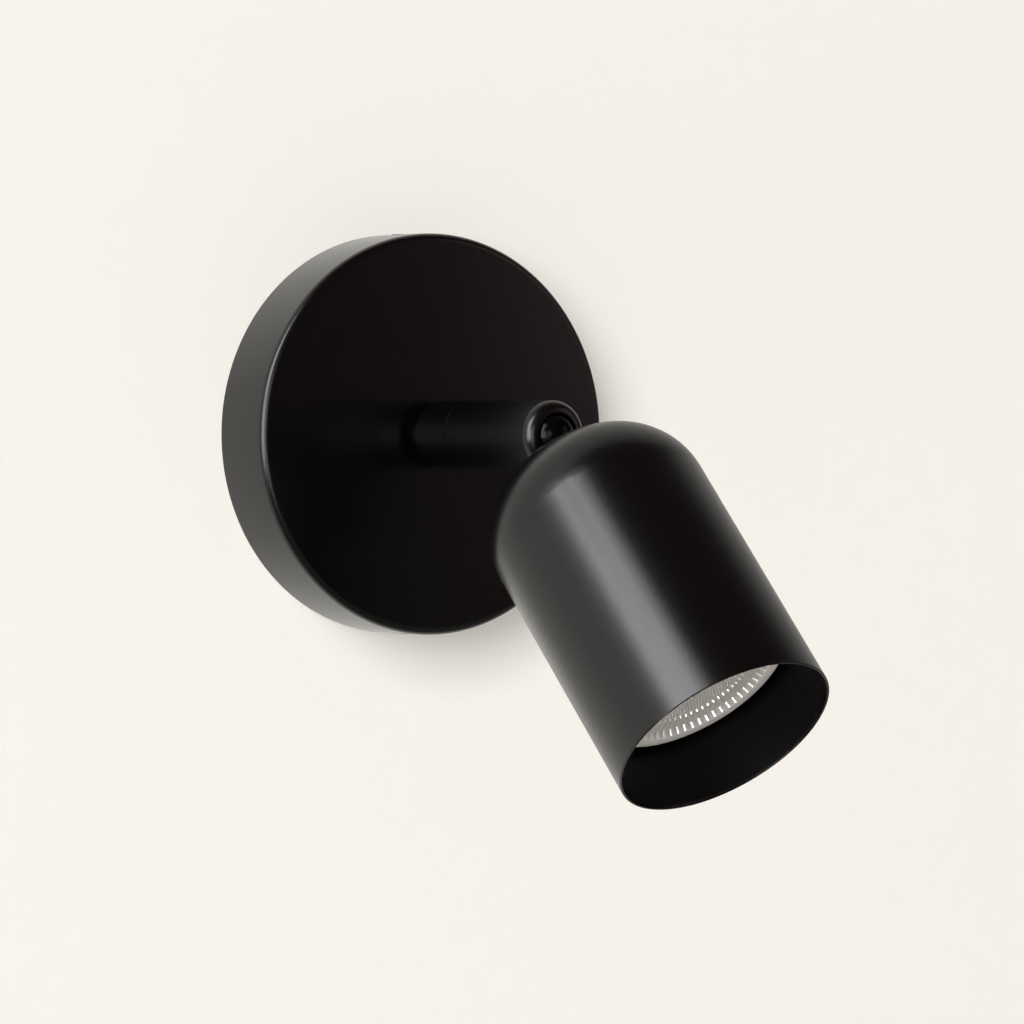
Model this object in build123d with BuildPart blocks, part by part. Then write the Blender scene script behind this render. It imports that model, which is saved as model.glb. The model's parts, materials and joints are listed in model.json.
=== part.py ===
"""Pivoting spotlight wall light: a round wall plate, a short arm and a bullet-shaped head.

The row frame is in millimetres, +Z up. The wall is the plane y = 0 and the light
stands out from it towards -Y. The origin is the middle of the wall bracket's back
face. Lengths called "reach" are distances from the wall along the arm's axis, and
lengths called "along" are distances from the ball's centre along the head's axis.
"""

from math import asin, cos, degrees, radians, sin, sqrt
import os

from build123d import *

# ---------------------------------------------------------------- driving sizes
# Pose of the light as it stands at rest, degrees.
swivel_angle = 6.0          # arm turned about its own axis, from straight down
tilt_angle = 49.3           # head folded down from the arm's axis
swivel_travel = 330.0       # whole turn between the two sides of the stop pin

# Wall plate.
plate_radius = 50.0
plate_depth = 20.0
plate_wall = 1.2
plate_edge = 0.5

# Wall bracket, bent from strip.
strip_thickness = 1.5
strip_width = 20.0
strip_bend = 1.0
tab_height = 13.0
tab_clearance = 0.3
slot_spacing = 60.0
slot_length = 12.0
slot_width = 4.5
cable_hole_radius = 7.0
ear_reach = 36.0
ear_width = 30.0
ear_corner = 3.0

# Side screws that hold the plate to the bracket's tabs.
side_screw_radius = 2.0
side_head_radius = 3.4
side_screw_length = 6.5
side_screw_reach = 7.5
side_screw_clearance = 0.15
side_screw_slot = 0.8

# Terminal block on the bracket's ear.
pole_count = 3
pole_pitch = 8.0
block_width = 16.0
block_height = 12.0
block_edge = 0.8
clamp_radius = 2.3
clamp_bore = 1.6
clamp_height = 4.2
clamp_screw_radius = 1.3
clamp_screw_setback = 4.0
block_screw_radius = 1.2
block_head_radius = 1.9
block_head_height = 1.2
block_screw_slot = 0.6

# Earth screw and its cup washer.
earth_offset = 15.5
earth_screw_radius = 2.0
earth_head_radius = 3.2
earth_head_height = 1.8
earth_screw_slot = 0.9
washer_thickness = 0.8

# Threaded nipple through the plate, and what it clamps.
nipple_wall = 1.5
nipple_length = 16.0
nipple_clearance = 0.15
nipple_nut_flats = 14.0
nipple_nut_height = 3.5
lock_washer_radius = 8.5
lock_washer_thickness = 0.9
lock_washer_teeth = 12
lock_notch_depth = 2.0
lock_notch_width = 1.4
nut_corner = 1.08           # a nut's corner circle, as a share of its half width across flats

# Neck and collar, the fixed foot of the arm.
neck_step = 2.2             # from the arm's side in to the neck's side
neck_wall = 1.0
neck_length = 3.6
collar_length = 13.4
collar_wall = 1.6
collar_front_wall = 2.0
collar_edge = 0.3
thread_length = 5.0

# Arm tube and its swivel joint.
arm_radius = 8.4
pivot_reach = 71.6
swivel_gap = 0.2
face_gap = 0.05
stem_wall = 1.8
stem_clearance = 0.05
plug_length = 6.0
friction_ring_width = 1.3
friction_ring_height = 0.8
swivel_nut_height = 2.0
stem_end = 0.5
stop_pin_radius = 0.5
stop_pin_setback = 0.6      # from the collar's bore in to the pin's middle
stop_pin_clearance = 0.2
stop_slack = 2.0

# Ball joint in the arm's rounded end.
arm_wall = 2.2
ball_gap = 0.2
rim_lip = 0.5
rim_land = 0.9
stud_radius = 2.8
stud_gap = 0.3
cup_length = 6.0
cup_wall = 2.6
disc_spring_height = 0.8
disc_spring_cone = 0.5
disc_spring_count = 2
spring_ring_length = 3.0

# Head shell.
head_radius = 27.5
head_length = 85.0
head_shoulder = 19.5
head_wall = 0.6
head_rim_edge = 0.25
head_clearance = 0.4        # between the arm's side and the head folded to 90 degrees

# Fittings inside the head's crown.
spigot_radius = 2.2
spigot_bore = 1.6
spigot_end = 0.8
crown_washer_radius = 6.5
crown_washer_height = 1.2
strap_thickness = 1.0
strap_width = 12.0
strap_bend = 1.2
strap_top = 16.0
strap_feet = 27.0
strap_drop = 5.0
head_nut_flats = 8.0
head_nut_height = 3.0
fitting_clearance = 0.1

# Two-pin twist-lock lampholder.
holder_radius = 14.0
holder_height = 14.0
holder_edge = 1.0
holder_screw_spacing = 20.0
holder_screw_radius = 1.5
holder_screw_head = 2.7
holder_screw_sink = 2.5
holder_screw_slot = 0.7
pin_orbit = 5.0
pin_turn = 40.0
pin_entry_radius = 2.9
pin_slot_width = 4.0
pin_gate_depth = 3.0
contact_thickness = 0.5
contact_width = 3.2

# Lamp of the standard 50 mm reflector size.
lamp_recess = 16.7          # from the head's mouth back to the lamp's face
lamp_radius = 25.0
lamp_wall = 1.2
lamp_seat_gap = 0.2
lamp_base_radius = 11.5
lamp_base_height = 7.0
lamp_skirt_radius = 13.5
lamp_skirt_height = 4.0
lamp_rim_radius = 24.4
lamp_bowl_radius = 60.0
pin_head_radius = 2.5
pin_head_height = 2.2
pin_stem_radius = 1.5
pin_length = 7.0
board_radius = 17.0
board_thickness = 1.6
board_setback = 16.0
sink_taper = 4.0
led_count = 6
led_orbit = 9.0
led_width = 3.0
led_height = 0.8
lens_thickness = 1.6
lens_flange_height = 4.0
lens_flange_width = 3.2
lens_dish = 1.2
lens_ribs = 60
lens_rib_inner = 8.0
lens_rib_outer = 21.0
lens_rib_width = 0.8
lens_rib_height = 0.5

# ---------------------------------------------------------------- derived places
plate_bore = plate_radius - plate_wall
plate_inner_face = plate_depth - plate_wall
tab_face = sqrt(plate_bore**2 - (strip_width / 2) ** 2) - tab_clearance
block_length = pole_count * pole_pitch
block_middle = ear_reach - block_width / 2 - ear_corner
block_top = strip_thickness + block_height

neck_radius = arm_radius - neck_step
nipple_radius = neck_radius - neck_wall
nipple_bore = nipple_radius - nipple_wall
collar_bore = arm_radius - collar_wall
collar_rear = plate_depth + neck_length
collar_front = collar_rear + collar_length
collar_shoulder = collar_front - collar_front_wall
nipple_front = collar_rear + thread_length

stop_pin_orbit = collar_bore - stop_pin_setback
stop_lug_radius = collar_bore - stop_pin_clearance
friction_ring_radius = stop_pin_orbit - stop_pin_radius - stop_pin_clearance
stem_radius = friction_ring_radius - friction_ring_width
stem_bore = stem_radius - stem_wall
friction_front = collar_shoulder - face_gap
friction_rear = friction_front - friction_ring_height
swivel_nut_rear = friction_rear - swivel_nut_height
stop_pin_angle = degrees(asin(stop_pin_radius / stop_pin_orbit))
stop_lug_angle = 360 - swivel_travel - 2 * (stop_slack + stop_pin_angle)

arm_rear = collar_front + swivel_gap
seat_radius = arm_radius - arm_wall
ball_radius = seat_radius - ball_gap
rim_opening = ball_radius - rim_lip
rim_round = arm_radius - rim_opening
seat_mouth = sqrt(seat_radius**2 - rim_opening**2)
arm_end = pivot_reach + seat_mouth + rim_land
cup_bore = seat_radius - cup_wall
cup_front = pivot_reach - stud_radius - stud_gap
cup_rear = cup_front - cup_length
springs_rear = cup_rear - disc_spring_count * disc_spring_height
spring_ring_rear = springs_rear - spring_ring_length

crown = arm_radius + head_clearance
crown_flat = head_radius - head_shoulder
head_bore = head_radius - head_wall
mouth = crown + head_length
spigot_hole = spigot_radius + fitting_clearance
washer_seat = crown + head_wall
strap_seat = washer_seat + crown_washer_height
nut_seat = strap_seat + strap_thickness
holder_back = nut_seat + strap_drop
holder_face = holder_back + holder_height
pin_pocket_depth = pin_length - lamp_seat_gap + contact_thickness
pocket_floor = holder_face - pin_pocket_depth

lamp_face = mouth - lamp_recess
lamp_back = holder_face + lamp_seat_gap
skirt_back = lamp_back + lamp_base_height
skirt_front = skirt_back + lamp_skirt_height
lens_back = lamp_face - lens_flange_height
board_front = lens_back - board_setback
board_back = board_front - board_thickness
lens_floor = lamp_face - lens_dish

# ---------------------------------------------------------------- planes and axes
# Looking at the light from the room: X to the right, Y up, Z out of the wall.
wall = Plane(origin=(0, 0, 0), x_dir=(1, 0, 0), z_dir=(0, -1, 0))
# The arm turns with the swivel: its X is the tilt axis and its Y points away from the slot.
arm_foot = Plane(wall.location * Rotation(0, 0, swivel_angle))
arm_frame = arm_foot.offset(pivot_reach)
# The head's own frame: origin at the ball's centre, Z towards the mouth.
head_frame = Plane(arm_frame.location * Rotation(tilt_angle, 0, 0))


def half_section(frame: Plane) -> Plane:
    """The plane through a frame's X and Z, where x is a radius and y runs along its Z."""
    return Plane(origin=frame.origin, x_dir=frame.x_dir, z_dir=-frame.y_dir)


fixed_section = half_section(wall)
arm_section = half_section(arm_foot)
head_section = half_section(head_frame)
arm_axis = Axis(wall.origin, wall.z_dir)
head_axis = Axis(head_frame.origin, head_frame.z_dir)


# ---------------------------------------------------------------- repeated forms
def ring(section: Plane, axis: Axis, inner: float, outer: float, start: float, end: float):
    """A plain turned ring between two radii, from start to end along its axis."""
    with BuildPart() as piece:
        with BuildSketch(section):
            with Locations((inner, start)):
                Rectangle(outer - inner, end - start, align=(Align.MIN, Align.MIN))
        revolve(axis=axis)
    return piece


def hex_nut(seat: Plane, flats: float, height: float, bore: float):
    """A hexagon nut standing on its seat plane, chamfered on its outer corners."""
    with BuildPart() as piece:
        with BuildSketch(seat):
            RegularPolygon(radius=flats / 2, side_count=6, major_radius=False)
            Circle(bore, mode=Mode.SUBTRACT)
        extrude(amount=height)
        with BuildSketch(seat):
            Circle(flats / 2 * nut_corner)
        extrude(amount=height, mode=Mode.INTERSECT)
    return piece


def slotted_screws(seat: Plane, places: list, head: tuple, shank: tuple, slot: float):
    """Screws whose heads stand on the seat plane; head and shank are (radius, length)."""
    with BuildPart() as piece:
        with BuildSketch(seat):
            with Locations(*places):
                Circle(head[0])
        extrude(amount=head[1])
        with BuildSketch(seat.offset(head[1])):
            with Locations(*places):
                Rectangle(3 * head[0], slot)
        extrude(amount=-head[1] / 2, mode=Mode.SUBTRACT)
        with BuildSketch(seat):
            with Locations(*places):
                Circle(shank[0])
        extrude(amount=-shank[1])
    return piece


# ---------------------------------------------------------------- wall plate
side_screw_planes = [
    Plane(origin=(0, -side_screw_reach, side * plate_radius), x_dir=(1, 0, 0), z_dir=(0, 0, side))
    for side in (1, -1)
]

with BuildPart() as canopy_cover:
    with BuildSketch(wall):
        Circle(plate_radius)
    extrude(amount=plate_depth)
    offset(amount=-plate_wall, openings=canopy_cover.faces().sort_by(Axis.Y)[-1])
    front_face = canopy_cover.faces().sort_by(Axis.Y)[0]
    fillet(front_face.edges(), radius=plate_edge)
    with BuildSketch(wall):
        Circle(nipple_radius + nipple_clearance)
    extrude(amount=plate_depth, mode=Mode.SUBTRACT)
    with Locations(*side_screw_planes):
        CounterSinkHole(
            radius=side_screw_radius + side_screw_clearance,
            counter_sink_radius=side_head_radius + side_screw_clearance,
            depth=2 * plate_wall,
            counter_sink_angle=90,
        )
canopy_cover.part.label = "canopy_cover"

with BuildPart() as side_screws:
    for plane in side_screw_planes:
        with BuildSketch(half_section(plane)):
            with BuildLine():
                Polyline(
                    (0, 0),
                    (side_head_radius, 0),
                    (side_screw_radius, side_screw_radius - side_head_radius),
                    (side_screw_radius, -side_screw_length),
                    (0, -side_screw_length),
                    close=True,
                )
            make_face()
        revolve(axis=Axis(plane.origin, plane.z_dir))
        with BuildSketch(plane):
            Rectangle(3 * side_head_radius, side_screw_slot)
        extrude(amount=-side_screw_slot, mode=Mode.SUBTRACT)
side_screws.part.label = "side_screws"

# ---------------------------------------------------------------- wall bracket
block_screw_places = [(block_middle, side * pole_pitch / 2) for side in (1, -1)]
earth_place = (0, -earth_offset)

with BuildPart() as wall_bracket:
    with BuildSketch(Plane.YZ):
        Rectangle(tab_height, 2 * tab_face, align=(Align.MAX, Align.CENTER))
        fillet(vertices().group_by(Axis.X)[-1], radius=strip_bend + strip_thickness)
        with BuildSketch(mode=Mode.PRIVATE) as channel:
            with Locations((-strip_thickness, 0)):
                Rectangle(
                    tab_height,
                    2 * (tab_face - strip_thickness),
                    align=(Align.MAX, Align.CENTER),
                )
            fillet(channel.vertices().group_by(Axis.X)[-1], radius=strip_bend)
        add(channel.sketch, mode=Mode.SUBTRACT)
    extrude(amount=strip_width / 2, both=True)
    with BuildSketch(wall):
        with Locations((ear_reach, 0)):
            RectangleRounded(ear_reach, ear_width, ear_corner, align=(Align.MAX, Align.CENTER))
    extrude(amount=strip_thickness)
    with BuildSketch(wall):
        Circle(cable_hole_radius)
        with Locations((0, slot_spacing / 2), (0, -slot_spacing / 2)):
            SlotOverall(slot_length, slot_width, rotation=90)
        with Locations(*block_screw_places):
            Circle(block_screw_radius)
        with Locations(earth_place):
            Circle(earth_screw_radius)
    extrude(amount=strip_thickness, mode=Mode.SUBTRACT)
    for plane in side_screw_planes:
        with BuildSketch(plane):
            Circle(side_screw_radius)
        extrude(amount=-side_screw_length - plate_wall, mode=Mode.SUBTRACT)
wall_bracket.part.label = "wall_bracket"

# ---------------------------------------------------------------- terminals
pole_rows = [(i - (pole_count - 1) / 2) * pole_pitch for i in range(pole_count)]
clamp_axis_height = strip_thickness + clamp_height
clamp_screw_places = [
    (block_middle + side * clamp_screw_setback, row) for row in pole_rows for side in (1, -1)
]

with BuildPart() as terminal_block:
    with BuildSketch(wall.offset(strip_thickness)):
        with Locations((block_middle, 0)):
            Rectangle(block_width, block_length)
    extrude(amount=block_height)
    chamfer(terminal_block.faces().sort_by(Axis.Y)[0].edges(), length=block_edge)
    with BuildSketch(Plane.YZ.offset(block_middle)):
        with Locations(*[(-clamp_axis_height, row) for row in pole_rows]):
            Circle(clamp_radius)
    extrude(amount=block_width, both=True, mode=Mode.SUBTRACT)
    with BuildSketch(wall.offset(block_top)):
        with Locations(*clamp_screw_places):
            Circle(clamp_screw_radius + side_screw_clearance)
    extrude(amount=clamp_axis_height - block_top, mode=Mode.SUBTRACT)
    with BuildSketch(wall.offset(block_top)):
        with Locations(*block_screw_places):
            Circle(block_screw_radius)
    extrude(amount=-block_height, mode=Mode.SUBTRACT)
terminal_block.part.label = "terminal_block"

with BuildPart() as terminal_clamps:
    with BuildSketch(Plane.YZ.offset(block_middle)):
        with Locations(*[(-clamp_axis_height, row) for row in pole_rows]):
            Circle(clamp_radius)
            Circle(clamp_bore, mode=Mode.SUBTRACT)
    extrude(amount=block_width / 2 - block_edge, both=True)
    with BuildSketch(wall.offset(block_top)):
        with Locations(*clamp_screw_places):
            Circle(clamp_screw_radius)
    extrude(amount=clamp_axis_height - block_top, mode=Mode.SUBTRACT)
terminal_clamps.part.label = "terminal_clamps"

clamp_screw_top = wall.offset(block_top - block_edge)
with BuildPart() as terminal_screws:
    with BuildSketch(clamp_screw_top):
        with Locations(*clamp_screw_places):
            Circle(clamp_screw_radius)
    extrude(amount=clamp_axis_height + block_edge - block_top)
    with BuildSketch(clamp_screw_top):
        with Locations(*clamp_screw_places):
            Rectangle(3 * clamp_screw_radius, clamp_screw_radius / 2)
    extrude(amount=-block_edge, mode=Mode.SUBTRACT)
terminal_screws.part.label = "terminal_screws"

block_screws = slotted_screws(
    wall.offset(block_top),
    block_screw_places,
    head=(block_head_radius, block_head_height),
    shank=(block_screw_radius, block_height + strip_thickness),
    slot=block_screw_slot,
)
block_screws.part.label = "block_screws"

with BuildPart() as earth_washer:
    with BuildSketch(wall.offset(strip_thickness)):
        with Locations(earth_place):
            Circle(earth_head_radius + washer_thickness)
            Circle(earth_screw_radius, mode=Mode.SUBTRACT)
    extrude(amount=washer_thickness)
earth_washer.part.label = "earth_washer"

earth_screw = slotted_screws(
    wall.offset(strip_thickness + washer_thickness),
    [earth_place],
    head=(earth_head_radius, earth_head_height),
    shank=(earth_screw_radius, strip_thickness + washer_thickness),
    slot=earth_screw_slot,
)
earth_screw.part.label = "earth_screw"

# ---------------------------------------------------------------- nipple and its nut
threaded_nipple = ring(
    fixed_section, arm_axis, nipple_bore, nipple_radius, nipple_front - nipple_length, nipple_front
)
threaded_nipple.part.label = "threaded_nipple"

with BuildPart() as lock_washer:
    with BuildSketch(wall.offset(plate_inner_face)):
        Circle(lock_washer_radius)
        Circle(nipple_radius, mode=Mode.SUBTRACT)
        with PolarLocations(lock_washer_radius, lock_washer_teeth):
            Rectangle(lock_notch_depth, lock_notch_width, mode=Mode.SUBTRACT)
    extrude(amount=-lock_washer_thickness)
lock_washer.part.label = "lock_washer"

nipple_nut = hex_nut(
    wall.offset(plate_inner_face - lock_washer_thickness - nipple_nut_height),
    nipple_nut_flats,
    nipple_nut_height,
    nipple_radius,
)
nipple_nut.part.label = "nipple_nut"

# ---------------------------------------------------------------- neck and collar
with BuildPart() as neck_plug:
    with BuildSketch(fixed_section):
        with BuildLine():
            Polyline(
                (nipple_radius, plate_depth),
                (neck_radius, plate_depth),
                (neck_radius, collar_rear),
                (collar_bore, collar_rear),
                (collar_bore, nipple_front),
                (nipple_radius, nipple_front),
                close=True,
            )
        make_face()
    revolve(axis=arm_axis)
neck_plug.part.label = "neck_plug"

with BuildPart() as base_collar:
    with BuildSketch(fixed_section):
        with Locations((collar_bore, collar_rear)):
            Rectangle(arm_radius - collar_bore, collar_length, align=(Align.MIN, Align.MIN))
        chamfer(vertices().group_by(Axis.X)[-1], length=collar_edge)
        with Locations((stem_radius + stem_clearance, collar_shoulder)):
            Rectangle(
                collar_bore - stem_radius - stem_clearance + collar_edge,
                collar_front_wall,
                align=(Align.MIN, Align.MIN),
            )
    revolve(axis=arm_axis)
base_collar.part.label = "base_collar"

# The stop pin stands in the collar's front wall, straight above the arm's axis.
with BuildPart() as stop_pin:
    with BuildSketch(wall.offset(swivel_nut_rear)):
        with Locations((0, stop_pin_orbit)):
            Circle(stop_pin_radius)
    extrude(amount=collar_shoulder - swivel_nut_rear)
stop_pin.part.label = "stop_pin"

# ---------------------------------------------------------------- swivel joint
with BuildPart() as swivel_shaft:
    with BuildSketch(arm_section):
        with BuildLine():
            Polyline(
                (stem_bore, swivel_nut_rear - stem_end),
                (stem_radius, swivel_nut_rear - stem_end),
                (stem_radius, arm_rear),
                (seat_radius, arm_rear),
                (seat_radius, arm_rear + plug_length),
                (stem_bore, arm_rear + plug_length),
                close=True,
            )
        make_face()
    revolve(axis=arm_axis)
swivel_shaft.part.label = "swivel_shaft"

friction_ring = ring(
    arm_section, arm_axis, stem_radius, friction_ring_radius, friction_rear, friction_front
)
friction_ring.part.label = "friction_ring"

# The nut's lug meets the stop pin at either end of the swivel; at mid travel it
# points down, opposite the pin.
lug_half_width = stop_lug_radius * sin(radians(stop_lug_angle / 2))
with BuildPart() as swivel_nut:
    with BuildSketch(arm_frame.offset(swivel_nut_rear - pivot_reach)):
        Circle(friction_ring_radius)
        with BuildSketch(mode=Mode.PRIVATE) as lug:
            with Locations((0, -stop_lug_radius / 2)):
                Rectangle(2 * lug_half_width, stop_lug_radius)
            Circle(stop_lug_radius, mode=Mode.INTERSECT)
        add(lug.sketch)
        Circle(stem_radius, mode=Mode.SUBTRACT)
    extrude(amount=swivel_nut_height)
swivel_nut.part.label = "swivel_nut"

# ---------------------------------------------------------------- arm tube
# A turned tube whose rounded end closes over the ball; the slot below lets the
# head's stud swing from straight out to straight down.
stud_slot = Plane(
    origin=arm_frame.origin, x_dir=arm_frame.z_dir, z_dir=-arm_frame.y_dir
)
slot_run = arm_end - pivot_reach + rim_land

with BuildPart() as arm_tube:
    with BuildSketch(arm_section):
        with BuildLine():
            Line((seat_radius, pivot_reach), (seat_radius, arm_rear))
            Line((seat_radius, arm_rear), (arm_radius - collar_edge, arm_rear))
            Line((arm_radius - collar_edge, arm_rear), (arm_radius, arm_rear + collar_edge))
            Line((arm_radius, arm_rear + collar_edge), (arm_radius, arm_end - rim_round))
            RadiusArc((arm_radius, arm_end - rim_round), (rim_opening, arm_end), -rim_round)
            Line((rim_opening, arm_end), (rim_opening, pivot_reach + seat_mouth))
            RadiusArc((rim_opening, pivot_reach + seat_mouth), (seat_radius, pivot_reach), seat_radius)
        make_face()
    revolve(axis=arm_axis)
    with BuildSketch(stud_slot):
        Circle(stud_radius + stud_gap)
        with Locations((slot_run / 2, 0)):
            Rectangle(slot_run, 2 * (stud_radius + stud_gap))
    extrude(amount=arm_radius + rim_land, mode=Mode.SUBTRACT)
arm_tube.part.label = "arm_tube"

# ---------------------------------------------------------------- ball's friction set
with BuildPart() as ball_cup:
    with BuildSketch(arm_section):
        with Locations((cup_bore, cup_rear)):
            Rectangle(seat_radius - cup_bore, cup_length, align=(Align.MIN, Align.MIN))
        with Locations((0, pivot_reach)):
            Circle(seat_radius, mode=Mode.SUBTRACT)
    revolve(axis=arm_axis)
ball_cup.part.label = "ball_cup"

with BuildPart() as disc_springs:
    for i in range(disc_spring_count):
        back = springs_rear + i * disc_spring_height
        lean = disc_spring_cone if i % 2 else 0
        with BuildSketch(arm_section):
            with BuildLine():
                Polyline(
                    (cup_bore, back + lean),
                    (seat_radius, back + disc_spring_cone - lean),
                    (seat_radius, back + disc_spring_height - lean),
                    (cup_bore, back + disc_spring_height - disc_spring_cone + lean),
                    close=True,
                )
            make_face()
        revolve(axis=arm_axis)
disc_springs.part.label = "disc_springs"

spring_ring = ring(arm_section, arm_axis, cup_bore, seat_radius, spring_ring_rear, springs_rear)
spring_ring.part.label = "spring_ring"

# ---------------------------------------------------------------- head shell
with BuildPart() as shade:
    with BuildSketch(head_section):
        with BuildLine():
            Line((spigot_hole, crown), (crown_flat, crown))
            RadiusArc((crown_flat, crown), (head_radius, crown + head_shoulder), -head_shoulder)
            Line((head_radius, crown + head_shoulder), (head_radius, mouth))
            Line((head_radius, mouth), (head_bore, mouth))
            Line((head_bore, mouth), (head_bore, crown + head_shoulder))
            RadiusArc(
                (head_bore, crown + head_shoulder),
                (crown_flat, washer_seat),
                head_shoulder - head_wall,
            )
            Line((crown_flat, washer_seat), (spigot_hole, washer_seat))
            Line((spigot_hole, washer_seat), (spigot_hole, crown))
        make_face()
        fillet(vertices().group_by(Axis.Y)[-1], radius=head_rim_edge)
    revolve(axis=head_axis)
shade.part.label = "shade"

# ---------------------------------------------------------------- ball and stud
spigot_tip = nut_seat + head_nut_height + spigot_end
with BuildPart() as ball_stud:
    with BuildSketch(head_section):
        with Locations((0, 0)):
            Circle(ball_radius)
        with Locations((0, 0)):
            Rectangle(stud_radius, crown, align=(Align.MIN, Align.MIN))
        with Locations((0, crown)):
            Rectangle(spigot_radius, spigot_tip - crown, align=(Align.MIN, Align.MIN))
        with Locations((spigot_bore, -ball_radius)):
            Rectangle(
                ball_radius, spigot_tip + ball_radius, align=(Align.MIN, Align.MIN), mode=Mode.INTERSECT
            )
    revolve(axis=head_axis)
ball_stud.part.label = "ball_stud"

crown_washer = ring(
    head_section, head_axis, spigot_hole, crown_washer_radius, washer_seat, strap_seat
)
crown_washer.part.label = "crown_washer"

head_nut = hex_nut(head_frame.offset(nut_seat), head_nut_flats, head_nut_height, spigot_radius)
head_nut.part.label = "head_nut"

# ---------------------------------------------------------------- lampholder bracket
holder_screw_places = [(side * holder_screw_spacing / 2, 0) for side in (1, -1)]
strap_mid = strap_thickness / 2
with BuildPart() as holder_bracket:
    with BuildSketch(head_section):
        with BuildLine():
            FilletPolyline(
                (-strap_feet / 2, holder_back - strap_mid),
                (-strap_top / 2 + strap_mid, holder_back - strap_mid),
                (-strap_top / 2 + strap_mid, strap_seat + strap_mid),
                (strap_top / 2 - strap_mid, strap_seat + strap_mid),
                (strap_top / 2 - strap_mid, holder_back - strap_mid),
                (strap_feet / 2, holder_back - strap_mid),
                radius=strap_bend,
            )
        trace(line_width=strap_thickness)
    extrude(amount=strap_width / 2, both=True)
    with BuildSketch(head_frame):
        Circle(spigot_hole)
        with Locations(*holder_screw_places):
            Circle(holder_screw_radius)
    extrude(amount=holder_back, mode=Mode.SUBTRACT)
holder_bracket.part.label = "holder_bracket"

# ---------------------------------------------------------------- lampholder
pin_angles = [90, 270]
pin_places = [(pin_orbit * cos(radians(a)), pin_orbit * sin(radians(a))) for a in pin_angles]
entry_places = [
    (pin_orbit * cos(radians(a + pin_turn)), pin_orbit * sin(radians(a + pin_turn))) for a in pin_angles
]
pin_turns = [
    CenterArc((0, 0), pin_orbit, angle, pin_turn, mode=Mode.PRIVATE) for angle in pin_angles
]

with BuildPart() as lampholder:
    with BuildSketch(head_frame.offset(holder_back)):
        Circle(holder_radius)
    extrude(amount=holder_height)
    fillet(lampholder.edges().filter_by(GeomType.CIRCLE), radius=holder_edge)
    with BuildSketch(head_frame.offset(holder_face)):
        for turn in pin_turns:
            SlotArc(turn, pin_slot_width)
    extrude(amount=-pin_gate_depth, mode=Mode.SUBTRACT)
    with BuildSketch(head_frame.offset(holder_face - pin_gate_depth)):
        for turn in pin_turns:
            SlotArc(turn, 2 * pin_entry_radius)
    extrude(amount=pin_gate_depth - pin_pocket_depth, mode=Mode.SUBTRACT)
    with BuildSketch(head_frame.offset(holder_face)):
        with Locations(*entry_places):
            Circle(pin_entry_radius)
    extrude(amount=-pin_pocket_depth, mode=Mode.SUBTRACT)
    with Locations(head_frame.offset(holder_face)):
        with Locations(*holder_screw_places):
            CounterBoreHole(
                radius=holder_screw_radius + fitting_clearance,
                counter_bore_radius=holder_screw_head + fitting_clearance,
                counter_bore_depth=holder_screw_sink,
                depth=holder_height,
            )
lampholder.part.label = "lampholder"

holder_screws = slotted_screws(
    head_frame.offset(holder_face - holder_screw_sink),
    holder_screw_places,
    head=(holder_screw_head, holder_screw_sink - 2 * fitting_clearance),
    shank=(holder_screw_radius, holder_height - holder_screw_sink + strap_thickness),
    slot=holder_screw_slot,
)
holder_screws.part.label = "holder_screws"

with BuildPart() as holder_contacts:
    with BuildSketch(head_frame.offset(pocket_floor)):
        with Locations(*pin_places):
            Rectangle(contact_width, contact_width)
    extrude(amount=contact_thickness)
holder_contacts.part.label = "holder_contacts"

# ---------------------------------------------------------------- lamp
with BuildPart() as lamp_pins:
    with BuildSketch(head_frame.offset(lamp_back)):
        with Locations(*pin_places):
            Circle(pin_stem_radius)
    extrude(amount=-pin_length)
    with BuildSketch(head_frame.offset(lamp_back - pin_length)):
        with Locations(*pin_places):
            Circle(pin_head_radius)
    extrude(amount=pin_head_height)
lamp_pins.part.label = "lamp_pins"

with BuildPart() as lamp_base:
    with BuildSketch(head_frame.offset(lamp_back)):
        Circle(lamp_base_radius)
    extrude(amount=lamp_base_height)
    chamfer(lamp_base.edges().sort_by(head_axis)[0], length=holder_edge)
lamp_base.part.label = "lamp_base"

with BuildPart() as lamp_housing:
    with BuildSketch(head_section):
        with BuildLine():
            Polyline(
                (lamp_skirt_radius - lamp_wall, skirt_front),
                (lamp_skirt_radius - lamp_wall, skirt_back + lamp_wall),
                (0, skirt_back + lamp_wall),
                (0, skirt_back),
                (lamp_skirt_radius, skirt_back),
                (lamp_skirt_radius, skirt_front),
            )
            RadiusArc((lamp_skirt_radius, skirt_front), (lamp_rim_radius, lens_back), -lamp_bowl_radius)
            Line((lamp_rim_radius, lens_back), (lamp_rim_radius - lamp_wall, lens_back))
            RadiusArc(
                (lamp_rim_radius - lamp_wall, lens_back),
                (lamp_skirt_radius - lamp_wall, skirt_front),
                lamp_bowl_radius,
            )
        make_face()
    revolve(axis=head_axis)
lamp_housing.part.label = "lamp_housing"

with BuildPart() as heat_sink:
    with BuildSketch(head_section):
        with BuildLine():
            Polyline(
                (0, skirt_back + lamp_wall),
                (lamp_base_radius, skirt_back + lamp_wall),
                (lamp_base_radius, skirt_front),
                (board_radius / 2, skirt_front + sink_taper),
                (board_radius / 2, board_back - sink_taper),
                (board_radius, board_back - board_thickness),
                (board_radius, board_back),
                (0, board_back),
                close=True,
            )
        make_face()
    revolve(axis=head_axis)
heat_sink.part.label = "heat_sink"

with BuildPart() as led_board:
    with BuildSketch(head_frame.offset(board_back)):
        Circle(board_radius)
    extrude(amount=board_thickness)
led_board.part.label = "led_board"

with BuildPart() as led_chips:
    with BuildSketch(head_frame.offset(board_front)):
        with PolarLocations(led_orbit, led_count):
            Rectangle(led_width, led_width)
    extrude(amount=led_height)
led_chips.part.label = "led_chips"

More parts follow.
